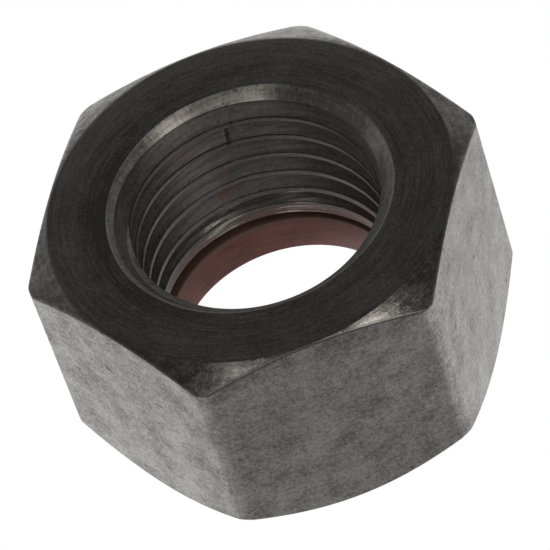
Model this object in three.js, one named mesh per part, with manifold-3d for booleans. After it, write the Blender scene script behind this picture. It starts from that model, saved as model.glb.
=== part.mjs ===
// Prevailing-torque hex nut: a steel nut with a plastic locking ring crimped into one end.
// Millimetres, +Z up. The thread axis is Z, the bearing face is on top and two flats face -Y and +Y.
// The origin is the centre of the underside, which is the crimped end.

import * as THREE from 'three';
import { mergeVertices } from 'three/addons/utils/BufferGeometryUtils.js';
import Module from 'manifold-3d';

const wasm = await Module();
wasm.setup();

// Thread: metric fine, right-handed, 60 degree flanks.
const threadDiameter = 20;
const threadPitch = 2;
const minorAllowance = 0.085;
const threadFlankAngle = 30;
const threadStartAngle = -77;

// Bearing end.
const countersinkMargin = 0.45;
const countersinkAngle = 45;
const bearingFaceInset = 0.12;
const bearingChamferAngle = 28;

// Locking ring.
const ringGrip = 0.17;
const ringWall = 3.11;
const ringThickness = 3.1;
const ringEdge = 0.25;
const ringClearance = 0.3;

// Nut body.
const nutHeight = 18.8;
const wrenchWall = 2.6;
const hexCornerRadius = 1.65;
const seatChamfer = 0.25;

// Crimped end: a cone off the hexagon, a narrow flat to stand on, and the lip rolled in under the ring.
const endChamferAngle = 42;
const endChamferRise = 1.37;
const crownRounding = 0.8;
const crownFaceWidth = 0.6;
const lipThickness = 2.2;
const lipNoseHeight = 0.9;
const lipNoseRounding = 0.3;
const lipRoll = 1.1;
const lipMouthMargin = 0.3;

// Smoothness of the faceted surfaces, and how far the cutting shapes run past what they cut.
const turnSteps = 60;
const threadSteps = 30;
const cornerSteps = 6;
const profileSteps = 4;
const blankOverrun = 1;
const cutterOverrun = 0.25;

// Sizes that follow from the ones above.
const triangleHeight = threadPitch * Math.cos(Math.PI / 6);
const threadRadius = threadDiameter / 2;
const minorRadius = threadRadius - (5 / 8) * triangleHeight + minorAllowance / 2;
const countersinkRadius = threadRadius + countersinkMargin;
const ringInnerRadius = minorRadius - ringGrip;
const ringOuterRadius = ringInnerRadius + ringWall;
const seatRadius = ringOuterRadius + ringClearance;
const seatFloor = lipThickness;
const seatCeiling = seatFloor + ringThickness + 2 * ringClearance;
const flatDistance = seatRadius + wrenchWall;
const cornerDistance = flatDistance / Math.cos(Math.PI / 6);
const bearingFaceRadius = flatDistance - bearingFaceInset;
const lipMouthRadius = threadRadius + lipMouthMargin;

const tangentOf = (degrees) => Math.tan(THREE.MathUtils.degToRad(degrees));

// Turns a closed geometry into a solid that can be cut and joined.
function toSolid(geometry) {
  const bare = geometry.clone();
  bare.deleteAttribute('normal');
  bare.deleteAttribute('uv');
  const merged = mergeVertices(bare, 1e-5);
  const mesh = new wasm.Mesh({
    numProp: 3,
    vertProperties: new Float32Array(merged.attributes.position.array),
    triVerts: new Uint32Array(merged.index.array),
  });
  return new wasm.Manifold(mesh);
}

// Turns a finished solid back into a flat-shaded geometry.
function toGeometry(solid) {
  const mesh = solid.getMesh();
  const geometry = new THREE.BufferGeometry();
  geometry.setAttribute('position', new THREE.BufferAttribute(mesh.vertProperties, 3));
  geometry.setIndex(new THREE.BufferAttribute(mesh.triVerts, 1));
  const faceted = geometry.toNonIndexed();
  faceted.computeVertexNormals();
  return faceted;
}

// Spins a closed outline of radius and height about Z.
function turned(outline) {
  const geometry = new THREE.LatheGeometry(outline, turnSteps);
  geometry.rotateX(Math.PI / 2);
  return geometry;
}

// The hexagonal bar that the nut is cut from, with its corners slightly rounded.
// It runs a little past both ends, so that the turned outline alone sets the height.
function hexBar() {
  const shape = new THREE.Shape();
  const arcCentre = cornerDistance - hexCornerRadius / Math.cos(Math.PI / 6);
  for (let corner = 0; corner < 6; corner += 1) {
    const angle = (corner * Math.PI) / 3;
    const x = arcCentre * Math.cos(angle);
    const y = arcCentre * Math.sin(angle);
    shape.absarc(x, y, hexCornerRadius, angle - Math.PI / 6, angle + Math.PI / 6, false);
  }
  const depth = nutHeight + 2 * blankOverrun;
  const bar = new THREE.ExtrudeGeometry(shape, { depth, bevelEnabled: false, curveSegments: cornerSteps });
  bar.translate(0, 0, -blankOverrun);
  return bar;
}

// Half section of the turned blank: both end chamfers, the crown, the lip, the ring seat and the bore.
function blankOutline() {
  const reach = cornerDistance + blankOverrun;
  const coneFoot = flatDistance - endChamferRise / tangentOf(endChamferAngle);
  const tangent = crownRounding * tangentOf(endChamferAngle / 2);
  const coneTurn = new THREE.Vector2(1, tangentOf(endChamferAngle)).setLength(tangent);
  const faceOuter = coneFoot - tangent;
  const faceInner = faceOuter - crownFaceWidth;
  const noseBottom = lipThickness - lipNoseHeight;
  const noseTurn = new THREE.Vector2(faceInner - lipRoll - lipMouthRadius, -noseBottom);
  noseTurn.setLength(lipNoseRounding);
  const countersinkDepth = (countersinkRadius - minorRadius) / tangentOf(countersinkAngle);

  const outline = new THREE.Path();
  outline.moveTo(faceInner, 0);
  outline.lineTo(faceOuter, 0);
  outline.quadraticCurveTo(coneFoot, 0, coneFoot + coneTurn.x, coneTurn.y);
  outline.lineTo(reach, endChamferRise + (reach - flatDistance) * tangentOf(endChamferAngle));
  outline.lineTo(reach, nutHeight - (reach - bearingFaceRadius) * tangentOf(bearingChamferAngle));
  outline.lineTo(bearingFaceRadius, nutHeight);
  outline.lineTo(countersinkRadius, nutHeight);
  outline.lineTo(minorRadius, nutHeight - countersinkDepth);
  outline.lineTo(minorRadius, seatCeiling + seatChamfer);
  outline.lineTo(minorRadius + seatChamfer, seatCeiling);
  outline.lineTo(seatRadius, seatCeiling);
  outline.lineTo(seatRadius, seatFloor);
  outline.lineTo(lipMouthRadius + lipNoseRounding, seatFloor);
  outline.quadraticCurveTo(lipMouthRadius, seatFloor, lipMouthRadius, seatFloor - lipNoseRounding);
  outline.lineTo(lipMouthRadius, noseBottom + lipNoseRounding);
  outline.quadraticCurveTo(lipMouthRadius, noseBottom, lipMouthRadius + noseTurn.x, noseBottom + noseTurn.y);
  outline.quadraticCurveTo(faceInner - lipRoll, 0, faceInner, 0);
  return outline.getPoints(profileSteps);
}

// The wedge that cuts the thread groove, swept from above the bearing face down into the ring seat.
// Its steps fall midway between the blank's facets, so that no two edges nearly meet.
function threadCutter() {
  const innerRadius = minorRadius - cutterOverrun;
  const rootHalf = threadPitch / 16;
  const mouthHalf = rootHalf + (threadRadius - innerRadius) * tangentOf(threadFlankAngle);
  const section = [
    [innerRadius, -mouthHalf],
    [threadRadius, -rootHalf],
    [threadRadius, rootHalf],
    [innerRadius, mouthHalf],
  ];
  const top = nutHeight + mouthHalf + cutterOverrun;
  const bottom = seatCeiling - mouthHalf - cutterOverrun;
  const fullTurn = 2 * Math.PI;
  const stepAngle = fullTurn / threadSteps;
  const startAngle = THREE.MathUtils.degToRad(threadStartAngle);
  const angleAt = (height) => startAngle + ((height - nutHeight) / threadPitch) * fullTurn;
  const heightAt = (angle) => nutHeight + ((angle - startAngle) / fullTurn) * threadPitch;
  const firstStep = Math.floor(angleAt(bottom) / stepAngle);
  const steps = Math.ceil(angleAt(top) / stepAngle) - firstStep;

  const positions = [];
  const index = [];
  for (let step = 0; step <= steps; step += 1) {
    const angle = (firstStep + step + 0.5) * stepAngle;
    for (const [radius, offset] of section) {
      positions.push(radius * Math.cos(angle), radius * Math.sin(angle), heightAt(angle) + offset);
    }
  }
  for (let step = 0; step < steps; step += 1) {
    for (let side = 0; side < 4; side += 1) {
      const a = step * 4 + side;
      const b = step * 4 + ((side + 1) % 4);
      index.push(a, b + 4, b, a, a + 4, b + 4);
    }
  }
  const last = steps * 4;
  index.push(0, 1, 2, 0, 2, 3);
  index.push(last, last + 2, last + 1, last, last + 3, last + 2);

  const geometry = new THREE.BufferGeometry();
  geometry.setAttribute('position', new THREE.Float32BufferAttribute(positions, 3));
  geometry.setIndex(index);
  return geometry;
}

// Steel body: the turned blank kept inside the hexagon, then threaded.
function nutBody() {
  const blank = toSolid(turned(blankOutline())).intersect(toSolid(hexBar()));
  const threaded = blank.subtract(toSolid(threadCutter()));
  const material = new THREE.MeshStandardMaterial({ color: 0x6a6865, roughness: 0.5, metalness: 0.9 });
  const mesh = new THREE.Mesh(toGeometry(threaded), material);
  mesh.name = 'nut_body';
  return mesh;
}

// Locking ring: a plain collar whose bore is a little smaller than the thread's, held by the lip.
function lockingRing() {
  const outline = [
    new THREE.Vector2(ringInnerRadius + ringEdge, 0),
    new THREE.Vector2(ringOuterRadius - ringEdge, 0),
    new THREE.Vector2(ringOuterRadius, ringEdge),
    new THREE.Vector2(ringOuterRadius, ringThickness - ringEdge),
    new THREE.Vector2(ringOuterRadius - ringEdge, ringThickness),
    new THREE.Vector2(ringInnerRadius + ringEdge, ringThickness),
    new THREE.Vector2(ringInnerRadius, ringThickness - ringEdge),
    new THREE.Vector2(ringInnerRadius, ringEdge),
    new THREE.Vector2(ringInnerRadius + ringEdge, 0),
  ];
  const material = new THREE.MeshStandardMaterial({ color: 0x7a3f3b, roughness: 0.6, metalness: 0 });
  const mesh = new THREE.Mesh(turned(outline), material);
  mesh.name = 'locking_ring';
  mesh.position.z = seatFloor + ringClearance;
  return mesh;
}

const nut = new THREE.Group();
nut.add(nutBody(), lockingRing());

export default nut;
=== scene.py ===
import math
import random

import bmesh
import bpy
from mathutils import Matrix, Vector


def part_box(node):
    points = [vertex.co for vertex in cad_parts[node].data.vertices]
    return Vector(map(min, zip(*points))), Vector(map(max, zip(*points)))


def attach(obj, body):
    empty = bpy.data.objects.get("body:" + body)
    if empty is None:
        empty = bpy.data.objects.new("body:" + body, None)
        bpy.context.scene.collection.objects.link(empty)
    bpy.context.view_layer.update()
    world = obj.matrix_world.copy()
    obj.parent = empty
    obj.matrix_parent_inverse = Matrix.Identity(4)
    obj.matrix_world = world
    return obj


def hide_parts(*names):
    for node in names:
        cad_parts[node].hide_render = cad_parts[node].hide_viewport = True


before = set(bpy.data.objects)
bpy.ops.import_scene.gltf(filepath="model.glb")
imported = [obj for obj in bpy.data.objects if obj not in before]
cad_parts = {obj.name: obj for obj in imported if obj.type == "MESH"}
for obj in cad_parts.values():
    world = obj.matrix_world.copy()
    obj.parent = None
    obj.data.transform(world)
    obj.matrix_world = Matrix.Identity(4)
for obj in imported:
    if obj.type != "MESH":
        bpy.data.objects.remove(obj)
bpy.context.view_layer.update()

# Nut blank. Hexagonal steel bar is turned in a lathe: a chamfered bearing face on top, a countersink
# and a bore through it, a groove for the locking ring, and a thin lip below the groove. The lip is
# rolled in over the ring at the end, and the whole nut is then blackened.

mm = 0.001
nut_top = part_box("nut_body")[1]
nut_height = nut_top.z
flat_reach = nut_top.y
bar_reach = 18.1 * mm
face_margin = 0.12 * mm
face_radius = flat_reach - face_margin
chamfer_slope = math.tan(math.radians(28))
countersink_radius = 10.4 * mm
drill_radius = 8.75 * mm
countersink_depth = countersink_radius - drill_radius
crest_radius = 8.96 * mm
lead_top = 8.3 * mm
seat_radius = 12.2 * mm
seat_floor = 2.2 * mm
seat_top = 5.88 * mm
lip_radius = 10.3 * mm
lip_nose = 1.3 * mm
lip_root = 11.27 * mm
stand_inner = 12.37 * mm
cone_foot = 13.28 * mm
cone_rise = 1.37 * mm
cone_slope = math.tan(math.radians(42))
crimp_reach = 2 * cone_rise
foot_round = 0.3 * mm
rim_round = 0.1 * mm
seat_round = 0.08 * mm
lip_round = 0.28 * mm
roll_round = 1.05 * mm
feed_lines = 26
feed_depth = 0.009 * mm
feed_seed = 3
flat_limit = 0.001 * mm
merge_gap = 0.0005 * mm
turned_steps = 192


def wire(points):
    """A closed outline of radius and height, in the XZ plane."""
    outline = bmesh.new()
    corners = [outline.verts.new((radius, 0, height)) for radius, height in points]
    for corner, following in zip(corners, corners[1:] + corners[:1]):
        outline.edges.new((corner, following))
    return outline, corners


def soften(outline, corners, offset, segments):
    """Rounds corners of an outline before it is spun."""
    bmesh.ops.bevel(
        outline, geom=corners, offset=offset, offset_type="OFFSET", segments=segments,
        profile=0.5, affect="VERTICES", material=-1,
    )


def feed_marks(outline, edges, lines, depth, seed):
    """Cuts the lathe tool's feed lines downwards into the longest of the edges."""
    spread = random.Random(seed)
    longest = max(edges, key=lambda edge: edge.calc_length())
    cut = bmesh.ops.subdivide_edges(outline, edges=[longest], cuts=2 * lines - 1)
    inner = [part for part in cut["geom_inner"] if isinstance(part, bmesh.types.BMVert)]
    inner.sort(key=lambda point: point.co.x)
    for valley in inner[::2]:
        valley.co.z -= depth * spread.uniform(0.3, 1)


def spun(outline, steps):
    """Spins a closed outline right round the thread axis into a closed shape."""
    bmesh.ops.spin(
        outline, geom=outline.verts[:] + outline.edges[:], cent=(0, 0, 0), axis=(0, 0, 1),
        steps=steps, angle=2 * math.pi, use_merge=True,
    )
    bmesh.ops.remove_doubles(outline, verts=outline.verts, dist=merge_gap)
    bmesh.ops.recalc_face_normals(outline, faces=outline.faces)


def made_into(name, shape, finishes):
    """Puts a finished mesh into the scene as an object, with its finishes in its slots."""
    mesh = bpy.data.meshes.new(name)
    shape.to_mesh(mesh)
    shape.free()
    for finish in finishes:
        mesh.materials.append(finish)
    piece = bpy.data.objects.new(name, mesh)
    bpy.context.scene.collection.objects.link(piece)
    return piece


class Signal:
    """A shader socket that can be used in a sum."""

    def __init__(self, socket):
        self.socket = socket

    def node(self, kind, settings, inputs, output=0):
        """Adds a node to this signal's material: its settings first, then what goes into it."""
        tree = self.socket.id_data
        made = tree.nodes.new(kind)
        for setting, value in settings.items():
            setattr(made, setting, value)
        for place, value in inputs.items():
            if isinstance(value, Signal):
                tree.links.new(value.socket, made.inputs[place])
            else:
                made.inputs[place].default_value = value
        return Signal(made.outputs[output])

    def maths(self, operation, first, second=0):
        return self.node("ShaderNodeMath", {"operation": operation}, {0: first, 1: second})

    def __add__(self, other):
        return self.maths("ADD", self, other)

    def __sub__(self, other):
        return self.maths("SUBTRACT", self, other)

    def __rsub__(self, other):
        return self.maths("SUBTRACT", other, self)

    def __mul__(self, other):
        return self.maths("MULTIPLY", self, other)

    def __truediv__(self, other):
        return self.maths("DIVIDE", self, other)

    def __pow__(self, other):
        return self.maths("POWER", self, other)

    def __neg__(self):
        return self.maths("MULTIPLY", self, -1)

    def __abs__(self):
        return self.maths("ABSOLUTE", self)

    __radd__ = __add__
    __rmul__ = __mul__

    def larger(self, other):
        return self.maths("MAXIMUM", self, other)

    def smaller(self, other):
        return self.maths("MINIMUM", self, other)

    def rise(self, low, high):
        """0 below low and 1 above high, with a smooth step between them."""
        settings = {"interpolation_type": "SMOOTHSTEP"}
        return self.node("ShaderNodeMapRange", settings, {0: self, 1: low, 2: high})

    def tint(self, shade, full):
        """The colour that goes from shade at 0 to full at 1."""
        inputs = {0: self, 6: shade, 7: full}
        return self.node("ShaderNodeMix", {"data_type": "RGBA"}, inputs, 2)

    def scaled(self, x, y, z):
        """A place with each direction stretched on its own."""
        inputs = {"Vector": self, "Scale": (x, y, z)}
        return self.node("ShaderNodeMapping", {}, inputs)

    def noise(self, scale, detail=2, roughness=0.5):
        """Noise at this place, from about -1 to 1, with scale features to the unit."""
        inputs = {"Vector": self, "Scale": scale, "Detail": detail, "Roughness": roughness}
        return self.node("ShaderNodeTexNoise", {}, inputs) * 4 - 2

    def part(self, axis):
        """One of a place's three numbers."""
        return self.node("ShaderNodeSeparateXYZ", {}, {0: self}, "XYZ".index(axis))

    def joined(self, second, third):
        """A place made of three numbers."""
        return self.node("ShaderNodeCombineXYZ", {}, {0: self, 1: second, 2: third})


class Surface:
    """A surface of the nut or its ring, with the places that its marks follow, in millimetres."""

    def __init__(self, name, metallic, roughness):
        self.material = bpy.data.materials.new(name)
        self.material.use_nodes = True
        nodes = self.material.node_tree.nodes
        self.shader = nodes["Principled BSDF"]
        self.shader.inputs["Metallic"].default_value = metallic
        self.roughness = self.shader.inputs["Roughness"]
        self.roughness.default_value = roughness
        start = Signal(nodes.new("ShaderNodeTexCoord").outputs["Object"])
        self.place = start.scaled(1 / mm, 1 / mm, 1 / mm)
        self.x = self.place.part("X")
        self.y = self.place.part("Y")
        self.z = self.place.part("Z")
        self.radius = (self.x * self.x + self.y * self.y) ** 0.5
        self.across = self.x / self.radius
        self.along = self.y / self.radius

    def round_axis(self, measure, turn):
        """A place for marks that run round the axis, and that change quickly with the measure."""
        return measure.joined(self.across * turn, self.along * turn)

    def finish(self, colour, rougher, relief):
        """Links the colour, what is added to the roughness, and the relief in millimetres."""
        links = self.material.node_tree.links
        links.new(colour.socket, self.shader.inputs["Base Color"])
        links.new((rougher + self.roughness.default_value).socket, self.roughness)
        bump = relief.node("ShaderNodeBump", {}, {"Height": relief, "Distance": mm})
        links.new(bump.socket, self.shader.inputs["Normal"])
        return self.material


# The bearing face: fine rings from the turning tool, a darker patch by the bore and a pale haze.
face = Surface("turned_face", metallic=1, roughness=0.22)
face_rings = face.round_axis(face.radius * 5, 2.5).noise(1, 3, 0.7)
face_fine = face.round_axis(face.radius * 15, 9).noise(1)
face_grain = face.place.noise(7)
face_cloud = face.place.noise(0.4, 3)
face_haze = face.radius.rise(12, 14.5) * face.along.rise(-0.2, 0.9)
face_soot = (1 - face.radius.rise(10.8, 12.8)) * (-face.across).rise(0.2, 0.9)
face_tone = 0.46 + face_rings * 0.32 + face_fine * 0.2 + face_grain * 0.34 + face_cloud * 0.2
face_tone = face_tone + face_haze * 0.35 - face_soot * 0.4
turned_face = face.finish(
    face_tone.tint((0.23, 0.225, 0.213, 1), (0.57, 0.56, 0.535, 1)),
    face_grain * 0.03 + face_rings * 0.04,
    face_rings * 0.0012 + face_fine * 0.0005 + face_grain * 0.0006,
)

# The chamfer: brighter where its rim has been knocked, with stains and a little rust.
chamfer = Surface("turned_chamfer", metallic=1, roughness=0.21)
chamfer_rings = chamfer.round_axis(chamfer.radius * 4, 3).noise(1, 3, 0.7)
chamfer_grain = chamfer.place.noise(5)
chamfer_cloud = chamfer.place.noise(0.7, 3)
chamfer_blotch = chamfer.place.noise(1.7, 3, 0.6)
chamfer_rust = chamfer.place.noise(0.6, 4, 0.6).rise(0.3, 1.1) * 0.6
slant = chamfer.x * math.cos(math.pi / 6)
lean = chamfer.y * 0.5
rim_reach = abs(slant + lean).larger(abs(slant - lean)).larger(abs(chamfer.y))
rim_rub = 1 - (flat_reach / mm - rim_reach + chamfer_grain * 0.04).rise(0.02, 0.2)
chamfer_tone = 0.3 + chamfer_rings * 0.3 + chamfer_grain * 0.3 + chamfer_cloud * 0.3
chamfer_tone = chamfer_tone + chamfer_blotch * 0.4 + rim_rub * 0.4
chamfer_colour = chamfer_tone.tint((0.24, 0.234, 0.222, 1), (0.62, 0.605, 0.575, 1))
turned_chamfer = chamfer.finish(
    chamfer_rust.tint(chamfer_colour, (0.36, 0.24, 0.2, 1)),
    chamfer_grain * 0.05 + chamfer_cloud * 0.04 + rim_rub * 0.1,
    chamfer_rings * 0.0012 + chamfer_grain * 0.0006 + chamfer_cloud * 0.003 - rim_rub * 0.006,
)

# The countersink: the tool chattered in it; painted light on its near side, painted shade at the far
# right.
sink = Surface("chattered_countersink", metallic=0.6, roughness=0.32)
chatter = (sink.across * 34).joined(sink.along * 34, sink.z * 0.25).noise(1, 1, 0.6)
tool_lines = sink.round_axis(sink.z * 6, 3).noise(1, 3)
sink_grain = sink.place.noise(4)
sink_blotch = sink.place.noise(1.6, 3, 0.6)
# Painted light: the near side of the countersink is made paler.
sink_near_painted_light = (-sink.along).rise(0, 0.8)
# Painted shade: a patch at the far right of the countersink is made darker.
sink_far_painted_shade = (sink.across + sink_blotch * 0.04).rise(0.36, 0.52) * sink.along.rise(0.1, 0.35)
sink_tone = 0.5 + chatter * 0.14 + tool_lines * 0.3 + sink_grain * 0.22 + sink_blotch * 0.22
sink_tone = sink_tone + sink_near_painted_light * 0.5 - sink_far_painted_shade * 0.5
chattered_countersink = sink.finish(
    sink_tone.tint((0.2, 0.19, 0.178, 1), (0.66, 0.63, 0.59, 1)),
    sink_grain * 0.05 + sink_blotch * 0.05,
    chatter * 0.002 + tool_lines * 0.0016 + sink_blotch * 0.003,
)

# The crimped end: dark and a little rough, with rubs round it from the rolling.
crimp = Surface("crimped_lip", metallic=1, roughness=0.42)
crimp_grain = crimp.place.noise(4, 3)
crimp_rub = crimp.round_axis(crimp.radius * 2, 5).noise(1, 3)
crimp_tone = 0.5 + crimp_grain * 0.25 + crimp_rub * 0.35
crimped_lip = crimp.finish(
    crimp_tone.tint((0.11, 0.108, 0.102, 1), (0.27, 0.264, 0.25, 1)),
    crimp_grain * 0.08,
    crimp_grain * 0.002 + crimp_rub * 0.003,
)

# The bore, which the tap then threads: fine scores round it, crests darker on the far side, some
# rust, a painted red reflection of the ring on the last turn, two burnished stretches there, and one
# slanting scratch near the top.
bore = Surface("tapped_thread", metallic=1, roughness=0.45)
bore_scores = bore.round_axis(bore.z * 7, 2.5).noise(1, 3, 0.65)
bore_grain = bore.place.noise(3.5, 3)
bore_rust = bore.place.noise(0.45, 3).rise(0.05, 0.9) * 0.45
# Painted reflection: the last turn is tinted red, as if it mirrored the ring below.
bore_painted_red_reflection = (1 - bore.z.rise(6.2, 7.6)) * (0.5 + bore.place.noise(1.5, 3) * 0.3)
# The crests are darker on the far side of the bore.
far_crest_darkening = (1 - bore.radius.rise(8.98, 9.2)) * bore.along.rise(0.5, 0.95)
bore_tone = 0.5 + bore_scores * 0.4 + bore_grain * 0.3 - far_crest_darkening * 0.4
bore_colour = bore_rust.larger(bore_painted_red_reflection).tint(
    bore_tone.tint((0.13, 0.127, 0.121, 1), (0.33, 0.324, 0.31, 1)), (0.24, 0.115, 0.095, 1),
)
rub_away = abs(bore.across + 0.22).smaller(abs(bore.across - 0.4)) + bore_grain * 0.08
bore_rub = (1 - rub_away.rise(0.05, 0.22)) * bore.y.rise(0, 2) * bore_scores.rise(-0.2, 0.5)
bore_rub = bore_rub * (1 - (bore.z + bore_scores * 0.3).rise(7.6, 8.5))
scratch_away = abs(bore.x - 0.86 + (16.6 - bore.z) * 0.32) + bore_grain * 0.03
scratch = (1 - scratch_away.rise(0.06, 0.3)) * bore.y.rise(0, 1) * 0.9
scratch = scratch * bore.z.rise(13.6, 14.4) * (1 - bore.z.rise(16.4, 17.4))
rubbed_colour = bore_rub.tint(bore_colour, (0.6, 0.56, 0.5, 1))
tapped_thread = bore.finish(
    scratch.tint(rubbed_colour, (0.08, 0.078, 0.075, 1)),
    bore_grain * 0.07 - bore_rub * 0.12,
    bore_scores * 0.004 + bore_grain * 0.002 - scratch * 0.03,
)

blank, blank_corners = wire([
    (stand_inner, 0),
    (cone_foot, 0),
    (bar_reach, cone_rise + (bar_reach - flat_reach) * cone_slope),
    (bar_reach, nut_height - (bar_reach - face_radius) * chamfer_slope),
    (face_radius, nut_height),
    (countersink_radius, nut_height),
    (drill_radius, nut_height - countersink_depth),
    (drill_radius, lead_top),
    (crest_radius, lead_top),
    (crest_radius, seat_top),
    (seat_radius, seat_top),
    (seat_radius, seat_floor),
    (lip_radius, seat_floor),
    (lip_radius, lip_nose),
    (lip_root, 0),
])
soften(blank, [blank_corners[1]], foot_round, 4)
soften(blank, blank_corners[4:6], rim_round, 3)
soften(blank, [blank_corners[9]], seat_round, 3)
soften(blank, blank_corners[12:14], lip_round, 4)
soften(blank, [blank_corners[14]], roll_round, 8)
face_edges = [
    edge for edge in blank.edges if all(end.co.z > nut_height - flat_limit for end in edge.verts)
]
feed_marks(blank, face_edges, feed_lines, feed_depth, feed_seed)
spun(blank, turned_steps)
blank_finishes = [turned_face, chattered_countersink, crimped_lip, turned_chamfer, tapped_thread]
for facet in blank.faces:
    facet.smooth = True
    middle = facet.calc_center_median()
    reach = math.hypot(middle.x, middle.y)
    at_top = middle.z > nut_height - countersink_depth
    if at_top and reach < countersink_radius:
        finish = chattered_countersink
    elif middle.z < crimp_reach or (middle.z < lead_top and reach > lip_radius):
        finish = crimped_lip
    elif reach < cone_foot and not at_top:
        finish = tapped_thread
    elif reach > face_radius:
        finish = turned_chamfer
    else:
        finish = turned_face
    facet.material_index = blank_finishes.index(finish)
nut_body = made_into("lock_nut_body", blank, blank_finishes)

# Hexagon. The six wrench flats are the skin of the rolled bar, left as it came: a dull grey scale
# with a fine grain, soft clouds and a few pits, and corners a little rounded by the rolls.

corner_reach = flat_reach / math.cos(math.pi / 6)
corner_flat = 0.512 * mm
corner_round = 0.2 * mm
bar_overrun = 1 * mm

flats = Surface("rolled_flats", metallic=0.35, roughness=0.55)
flats_grain = flats.place.noise(3.6, 3, 0.6)
flats_fine = flats.place.noise(9)
flats_cloud = flats.place.noise(0.42, 4, 0.6)
flats_brush = flats.place.scaled(0.8, 0.8, 5).noise(1, 3)
pit_spots = flats.place.node("ShaderNodeTexVoronoi", {}, {"Vector": flats.place, "Scale": 0.55})
pits = (1 - pit_spots.rise(0.07, 0.16)) * flats.place.noise(0.8, 1).rise(0.1, 0.5)
edge_height = nut_height / mm - (flats.radius - face_radius / mm) * chamfer_slope
edge_shade = 1 - (edge_height - flats.z + flats_fine * 0.04).rise(0.05, 0.24)
flats_marks = flats_grain * 0.4 + flats_fine * 0.36 + flats_cloud * 0.46 + flats_brush * 0.16
flats_marks = flats_marks * (1 - flats.across.rise(0.4, 0.9) * 0.35)
# Painted light: the flats are made lighter towards the bottom, as if lit from the table below.
flats_tone = 0.47 + flats_marks + (1 - flats.z.rise(2, 14)) * 0.12 - pits * 0.6
flats_colour = flats_tone.tint((0.22, 0.216, 0.203, 1), (0.64, 0.63, 0.6, 1))
rolled_flats = flats.finish(
    (edge_shade * 0.85).tint(flats_colour, (0.08, 0.078, 0.074, 1)),
    pits * 0.2 - flats_grain * 0.06,
    flats_grain * 0.006 + flats_fine * 0.003 + flats_cloud * 0.006 - pits * 0.03,
)

hexagon = bmesh.new()
bmesh.ops.create_circle(
    hexagon, cap_ends=True, radius=corner_reach, segments=6,
    matrix=Matrix.Translation((0, 0, -bar_overrun)) @ Matrix.Rotation(math.pi / 6, 4, "Z"),
)
soften(hexagon, hexagon.verts[:], corner_flat, 1)
soften(hexagon, hexagon.verts[:], corner_round, 3)
raised = bmesh.ops.extrude_face_region(hexagon, geom=hexagon.faces[:])
bmesh.ops.translate(
    hexagon, vec=(0, 0, nut_height + 2 * bar_overrun),
    verts=[part for part in raised["geom"] if isinstance(part, bmesh.types.BMVert)],
)
bmesh.ops.recalc_face_normals(hexagon, faces=hexagon.faces)
for facet in hexagon.faces:
    facet.smooth = True
hexagon_bar = made_into("hexagon_bar", hexagon, [rolled_flats])

# Thread. A tap cuts the right-hand thread from the countersink down into the ring's groove. The
# crests stay a little flat, as the drill left them, and the groove gets shallower at its lower end,
# where the tap's tapered lead stopped.

thread_radius = 10 * mm
thread_pitch = 2 * mm
flank_slope = math.tan(math.radians(30))
root_half = thread_pitch / 16
mouth_half = root_half + (thread_radius - crest_radius) * flank_slope
crest_round = 0.14 * mm
root_round = 0.05 * mm
thread_start = math.radians(-77)
thread_turns = 9
turns_below_top = 8
turn_steps = 144
lead_slope = 0.35
lead_fall = 0.45 * mm
tap_top = nut_height + 0.4 * mm
tap_end = seat_top - 1.2 * mm
tap_merge = 0.001 * mm
cut_gap = 0.0001 * mm
body_crease = math.radians(24)

tap = bmesh.new()
tap_points = [
    (crest_radius, -thread_pitch / 2),
    (crest_radius, -mouth_half),
    (thread_radius, -root_half),
    (thread_radius, root_half),
    (crest_radius, mouth_half),
    (crest_radius, thread_pitch / 2),
]
tap_line = [tap.verts.new((radius, 0, height)) for radius, height in tap_points]
for point, following in zip(tap_line, tap_line[1:]):
    tap.edges.new((point, following))
soften(tap, [tap_line[1], tap_line[4]], crest_round, 4)
soften(tap, tap_line[2:4], root_round, 2)
bmesh.ops.spin(
    tap, geom=tap.verts[:] + tap.edges[:], cent=(0, 0, 0), axis=(0, 0, 1),
    dvec=(0, 0, thread_pitch / turn_steps), steps=thread_turns * turn_steps,
    angle=thread_turns * 2 * math.pi, use_merge=False,
)
bmesh.ops.remove_doubles(tap, verts=tap.verts, dist=tap_merge)
started = Matrix.Rotation(thread_start, 3, "Z")
bmesh.ops.rotate(tap, verts=tap.verts, cent=(0, 0, 0), matrix=started)
bmesh.ops.translate(tap, verts=tap.verts, vec=(0, 0, nut_height - turns_below_top * thread_pitch))
for corner in tap.verts:
    run_out = min(max((lead_top - corner.co.z) * lead_slope, 0), lead_fall)
    corner.co.xy *= 1 - run_out / corner.co.xy.length
for height, away in ((tap_top, 1), (tap_end, -1)):
    cut = bmesh.ops.bisect_plane(
        tap, geom=tap.verts[:] + tap.edges[:] + tap.faces[:], dist=cut_gap,
        plane_co=(0, 0, height), plane_no=(0, 0, away), clear_outer=True,
    )
    rim = [part for part in cut["geom_cut"] if isinstance(part, bmesh.types.BMEdge)]
    bmesh.ops.contextual_create(tap, geom=rim)
bmesh.ops.recalc_face_normals(tap, faces=tap.faces)
for facet in tap.faces:
    facet.smooth = True
thread_tap = made_into("thread_tap", tap, [tapped_thread])


def cut_with(piece, tool, operation):
    """Cuts a piece with a tool shape, which hands its own finish to the faces that it leaves."""
    change = piece.modifiers.new(tool.name, "BOOLEAN")
    change.operation = operation
    change.solver = "MANIFOLD"
    change.material_mode = "TRANSFER"
    change.object = tool


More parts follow.
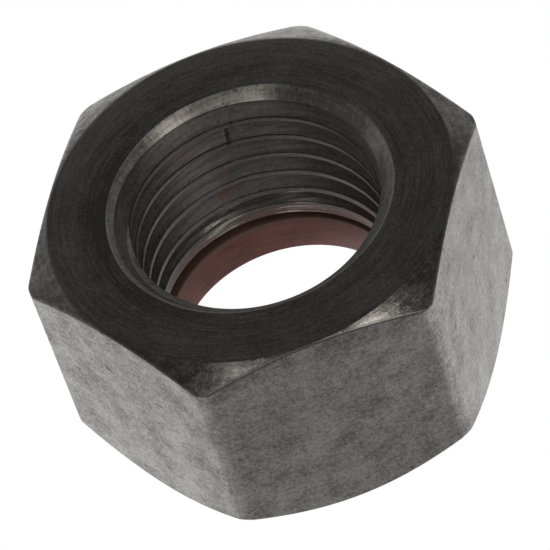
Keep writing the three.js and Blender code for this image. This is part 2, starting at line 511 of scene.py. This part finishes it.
cut_with(nut_body, hexagon_bar, "INTERSECT")
cut_with(nut_body, thread_tap, "DIFFERENCE")
bpy.context.view_layer.update()
cut_body = nut_body.evaluated_get(bpy.context.evaluated_depsgraph_get())
cut_mesh = bpy.data.meshes.new_from_object(cut_body)
nut_body.modifiers.clear()
nut_body.data = cut_mesh
for tool in (hexagon_bar, thread_tap):
    bpy.data.objects.remove(tool)
nut_body.data.set_sharp_from_angle(angle=body_crease)
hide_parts("nut_body")
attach(nut_body, "root")

# Locking ring. A collar of brick-red plastic lies in the groove below the last thread, with a bore
# a little tighter than the thread. The bolt presses its own thread into it, which stops the nut
# from shaking loose.

ring_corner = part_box("locking_ring")[1]
ring_outer = ring_corner.x
ring_top = ring_corner.z
ring_bottom = seat_floor + 0.03 * mm
ring_bore = 8.79 * mm
ring_round = 0.14 * mm
ring_crease = math.radians(40)

plastic = Surface("red_plastic", metallic=0, roughness=0.5)
plastic_cloud = plastic.place.noise(0.5, 3)
plastic_grain = plastic.place.noise(4, 3)
plastic_rings = plastic.round_axis(plastic.z * 4, 2).noise(1)
# Near the top the red goes greyer and a little lighter: partly dust, partly painted light on the
# top, which lies in shade.
plastic_dust_and_painted_light = (plastic.z + plastic_cloud * 0.2).rise(4.9, 5.6) * 0.7
plastic_tone = 0.5 + plastic_cloud * 0.3 + plastic_grain * 0.2 + plastic_rings * 0.3
plastic_colour = plastic_tone.tint((0.15, 0.047, 0.037, 1), (0.34, 0.108, 0.086, 1))
red_plastic = plastic.finish(
    plastic_dust_and_painted_light.tint(plastic_colour, (0.18, 0.125, 0.1, 1)),
    plastic_grain * 0.08,
    plastic_grain * 0.003 + plastic_rings * 0.003,
)

ring, ring_corners = wire([
    (ring_bore, ring_bottom),
    (ring_outer, ring_bottom),
    (ring_outer, ring_top),
    (ring_bore, ring_top),
])
soften(ring, ring_corners, ring_round, 4)
spun(ring, turned_steps)
for facet in ring.faces:
    facet.smooth = True
locking_ring = made_into("red_locking_ring", ring, [red_plastic])
locking_ring.data.set_sharp_from_angle(angle=ring_crease)
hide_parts("locking_ring")
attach(locking_ring, "root")

# Light table. The nut stands on a plain white table that glows on either side of it, in a dim room,
# with small soft lights in front that catch the turned edges. The camera sees the table and the
# room as plain white, and sees through the table from below.

table_radius = 3
table_drop = 0.02 * mm
table_shape = bmesh.new()
bmesh.ops.create_circle(
    table_shape, cap_ends=True, radius=table_radius, segments=64,
    matrix=Matrix.Translation((0, 0, -table_drop)),
)


def seen_white(glow):
    """Light with the glow's colour, which the camera sees as plain white instead."""
    to_camera = glow.node("ShaderNodeLightPath", {}, {}, "Is Camera Ray")
    white = glow.node("ShaderNodeEmission", {}, {"Color": (1, 1, 1, 1)})
    lit = glow.node("ShaderNodeEmission", {}, {"Color": glow})
    return glow.node("ShaderNodeMixShader", {}, {0: to_camera, 1: lit, 2: white})


table_paint = bpy.data.materials.new("table_paint")
table_paint.use_nodes = True
table_tree = table_paint.node_tree
spot = Signal(table_tree.nodes.new("ShaderNodeTexCoord").outputs["Object"])
spot_x = spot.part("X")
spot_y = spot.part("Y")
spot_reach = (spot_x * spot_x + spot_y * spot_y) ** 0.5
near = 1 - spot_reach.rise(0.018, 0.04)
rightward = ((spot_x + spot_y * 0.2) / spot_reach).larger(0)
leftward = ((spot_y * 0.2 - spot_x) / spot_reach).larger(0)
forward = (-(spot_y + spot_x * 0.5) / spot_reach).larger(0)
right_glow = rightward ** 3 * (near * 4.5 + 3.35)
left_glow = leftward ** 3 * (near * 0.9 + 1.9)
back_glow = ((spot_y - spot_x * 0.25) / spot_reach).rise(0.2, 1) * 0.5
front_glow = forward ** 2 * (near * 0.13 + 0.02)
under_glow = (1 - spot_reach.rise(0.006, 0.012)) * 0.2
table_glow = (right_glow + left_glow + back_glow) * spot_reach.rise(0.004, 0.016)
table_glow = table_glow + front_glow + under_glow + 0.12
table_top = seen_white(table_glow.tint((0, 0, 0, 1), (1, 1, 1, 1)))
below = spot.node("ShaderNodeNewGeometry", {}, {}, "Backfacing")
clear = spot.node("ShaderNodeBsdfTransparent", {}, {})
open_below = spot.node("ShaderNodeMixShader", {}, {0: below, 1: table_top, 2: clear})
table_tree.links.new(open_below.socket, table_tree.nodes["Material Output"].inputs["Surface"])
table = made_into("light_table", table_shape, [table_paint])

studio = bpy.data.worlds.new("studio")
studio.use_nodes = True
studio_tree = studio.node_tree
sky = Signal(studio_tree.nodes.new("ShaderNodeTexCoord").outputs["Generated"])
behind = sky.part("Y") - sky.part("X") * 0.35
wall = behind.rise(-0.2, 0.6).tint((0.11, 0.11, 0.109, 1), (0.23, 0.23, 0.228, 1))
dome = sky.part("Z").rise(0.35, 0.7).tint(wall, (0.06, 0.06, 0.06, 1))
studio_tree.links.new(seen_white(dome).socket, studio_tree.nodes["World Output"].inputs["Surface"])
bpy.context.scene.world = studio

lamp_aim = Vector((0, 0, 9.92 * mm))
lamp_distance = 0.7


def lamp(name, bearing, climb, width, height, power, colour):
    """A soft rectangular light at a bearing from +X and a height in degrees, turned to the nut."""
    light = bpy.data.lights.new(name, "AREA")
    light.shape = "RECTANGLE"
    light.size = width
    light.size_y = height
    light.energy = power
    light.color = colour
    stand = bpy.data.objects.new(name, light)
    out = Vector((
        math.cos(math.radians(bearing)) * math.cos(math.radians(climb)),
        math.sin(math.radians(bearing)) * math.cos(math.radians(climb)),
        math.sin(math.radians(climb)),
    ))
    stand.location = lamp_aim + out * lamp_distance
    stand.rotation_mode = "QUATERNION"
    stand.rotation_quaternion = out.to_track_quat("Z", "Y")
    stand.visible_camera = False
    bpy.context.scene.collection.objects.link(stand)


lamp("front_strip", -93, 42, 1.15, 0.09, 0.24, (1, 0.97, 0.92))
lamp("front_right_glint", -52, 40, 0.2, 0.08, 0.26, (1, 0.96, 0.9))
lamp("front_left_glint", -124, 41, 0.16, 0.08, 0.11, (1, 0.96, 0.9))
lamp("high_right_glint", -38, 68, 0.12, 0.08, 0.08, (1, 0.97, 0.92))
lamp("high_left_glint", -142, 69, 0.12, 0.08, 0.035, (1, 0.97, 0.92))

# Camera. A long lens looks down into the threaded end from the front and a little to the left, and
# is rolled over to one side.

camera_roll = math.radians(-19)
camera = bpy.data.objects.new("camera", bpy.data.cameras.new("camera"))
camera.data.sensor_width = 36
camera.data.lens = 336.1
camera.data.clip_start = 0.01
camera.data.clip_end = 20
camera.location = Vector((-13.18, -241.3, 287.14)) * mm
looked_at = Vector((-0.07, -0.02, 9.9)) * mm
looking = (looked_at - camera.location).to_track_quat("-Z", "Y").to_matrix()
camera.rotation_mode = "QUATERNION"
camera.rotation_quaternion = (looking @ Matrix.Rotation(camera_roll, 3, "Z")).to_quaternion()
bpy.context.scene.collection.objects.link(camera)
bpy.context.scene.camera = camera
bpy.context.scene.view_settings.view_transform = "Standard"
